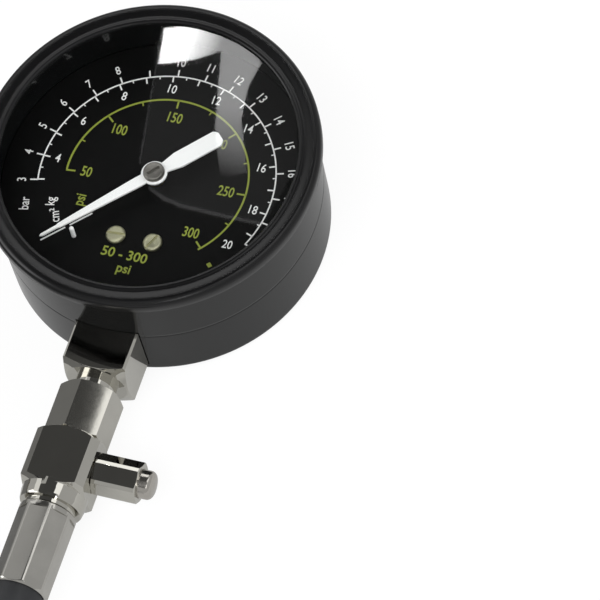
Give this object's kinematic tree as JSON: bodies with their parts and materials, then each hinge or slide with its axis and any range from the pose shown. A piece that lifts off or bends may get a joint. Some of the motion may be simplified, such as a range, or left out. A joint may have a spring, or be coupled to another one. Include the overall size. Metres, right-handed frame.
{
  "type": "engine compression tester",
  "caption": "Round dial pressure gauge on a square stem, with a release valve block, a crimped rubber hose and a threaded spark plug adapter.",
  "frame": {"origin": "on the pointer's axis, at the flat back of the gauge's case", "axes": "+Z out of the dial, +Y towards twelve o'clock, the stem points to -Y and the release button to +X"},
  "size_m": [0.171, 0.2255, 0.0329],
  "materials": {
    "case_grey": "matte dark grey moulded plastic",
    "bezel_black": "semi-gloss black",
    "lens_clear": "clear",
    "rubber_black": "matte",
    "dial_black": "matte black print",
    "pointer_white": "white paint",
    "boss_grey": "dark grey plate",
    "nickel": "polished nickel plate",
    "steel": "bright",
    "brass": "satin",
    "bronze": "drawn tube",
    "zinc": "bright zinc plate",
    "button_grey": "satin nickel",
    "hose_black": "smooth matte rubber"
  },
  "bodies": {
    "gauge": {"case": "case_grey", "bezel": "bezel_black", "lens": "lens_clear", "lens_gasket": "rubber_black", "dial": "dial_black", "dial_screws": "steel", "dial_posts": "brass", "stop_pin": "steel", "stem_socket": "nickel", "socket_screws": "steel", "bourdon_tube": "bronze", "back_plate": "brass", "front_plate": "brass", "plate_pillars": "brass", "plate_screws": "steel", "hairspring": "bronze", "spring_stud": "brass", "valve_body": "nickel", "release_barrel": "nickel", "release_spring": "steel", "hose_nipple": "brass", "gauge_ferrule": "zinc", "hose_ends": "hose_black", "hose": "hose_black", "end_ferrule": "zinc", "plug_adapter": "nickel", "plug_ring": "rubber_black", "core_body": "brass", "core_spring": "steel"},
    "tip": {"tube_tip": "bronze"},
    "link": {"link": "brass"},
    "sector": {"sector_gear": "brass", "sector_arbor": "steel"},
    "pointer_arbor": {"pinion": "brass", "pointer_boss": "boss_grey", "pointer": "pointer_white"},
    "release": {"release_button": "button_grey", "release_stem": "steel", "release_seal": "rubber_black"},
    "check_valve": {"core_pin": "steel", "core_seal": "rubber_black"}
  },
  "joints": [
    {"name": "sector_turn", "type": "hinge", "parent": "gauge", "child": "sector", "pos_m": [0, -0.0162, 0.0125], "axis": [0, 0, 1], "range_deg": [0, 32], "stiffness_Nm_per_rad": 0.002, "springref_deg": -2.86},
    {"name": "pointer_turn", "type": "hinge", "parent": "gauge", "child": "pointer_arbor", "pos_m": [0, 0, 0.0125], "axis": [0, 0, 1], "range_deg": [-256, 0], "deforming": ["hairspring"]},
    {"name": "tip_swing", "type": "hinge", "parent": "gauge", "child": "tip", "pos_m": [0.00127, 0.0057, 0.0062], "axis": [0, 0, 1], "range_deg": [0, 8], "deforming": ["bourdon_tube"]},
    {"name": "link_swing", "type": "hinge", "parent": "tip", "child": "link", "pos_m": [0.0188, -0.0174, 0.011], "axis": [0, 0, 1], "range_deg": [-1, 1]},
    {"name": "release_press", "type": "slide", "parent": "gauge", "child": "release", "axis": [-1, 0, 0], "range_m": [0, 0.002], "stiffness_N_per_m": 900, "springref_m": -0.001, "deforming": ["release_spring"]},
    {"name": "check_press", "type": "slide", "parent": "gauge", "child": "check_valve", "axis": [0, -1, 0], "range_m": [0, 0.0012], "stiffness_N_per_m": 250, "springref_m": -0.001, "deforming": ["core_spring"]}
  ],
  "couplings": [
    {"joint": "pointer_turn", "follows": "sector_turn", "ratio": -8},
    {"joint": "tip_swing", "follows": "sector_turn", "ratio": 0.2415},
    {"joint": "link_swing", "follows": "sector_turn", "ratio": -0.0029}
  ]
}
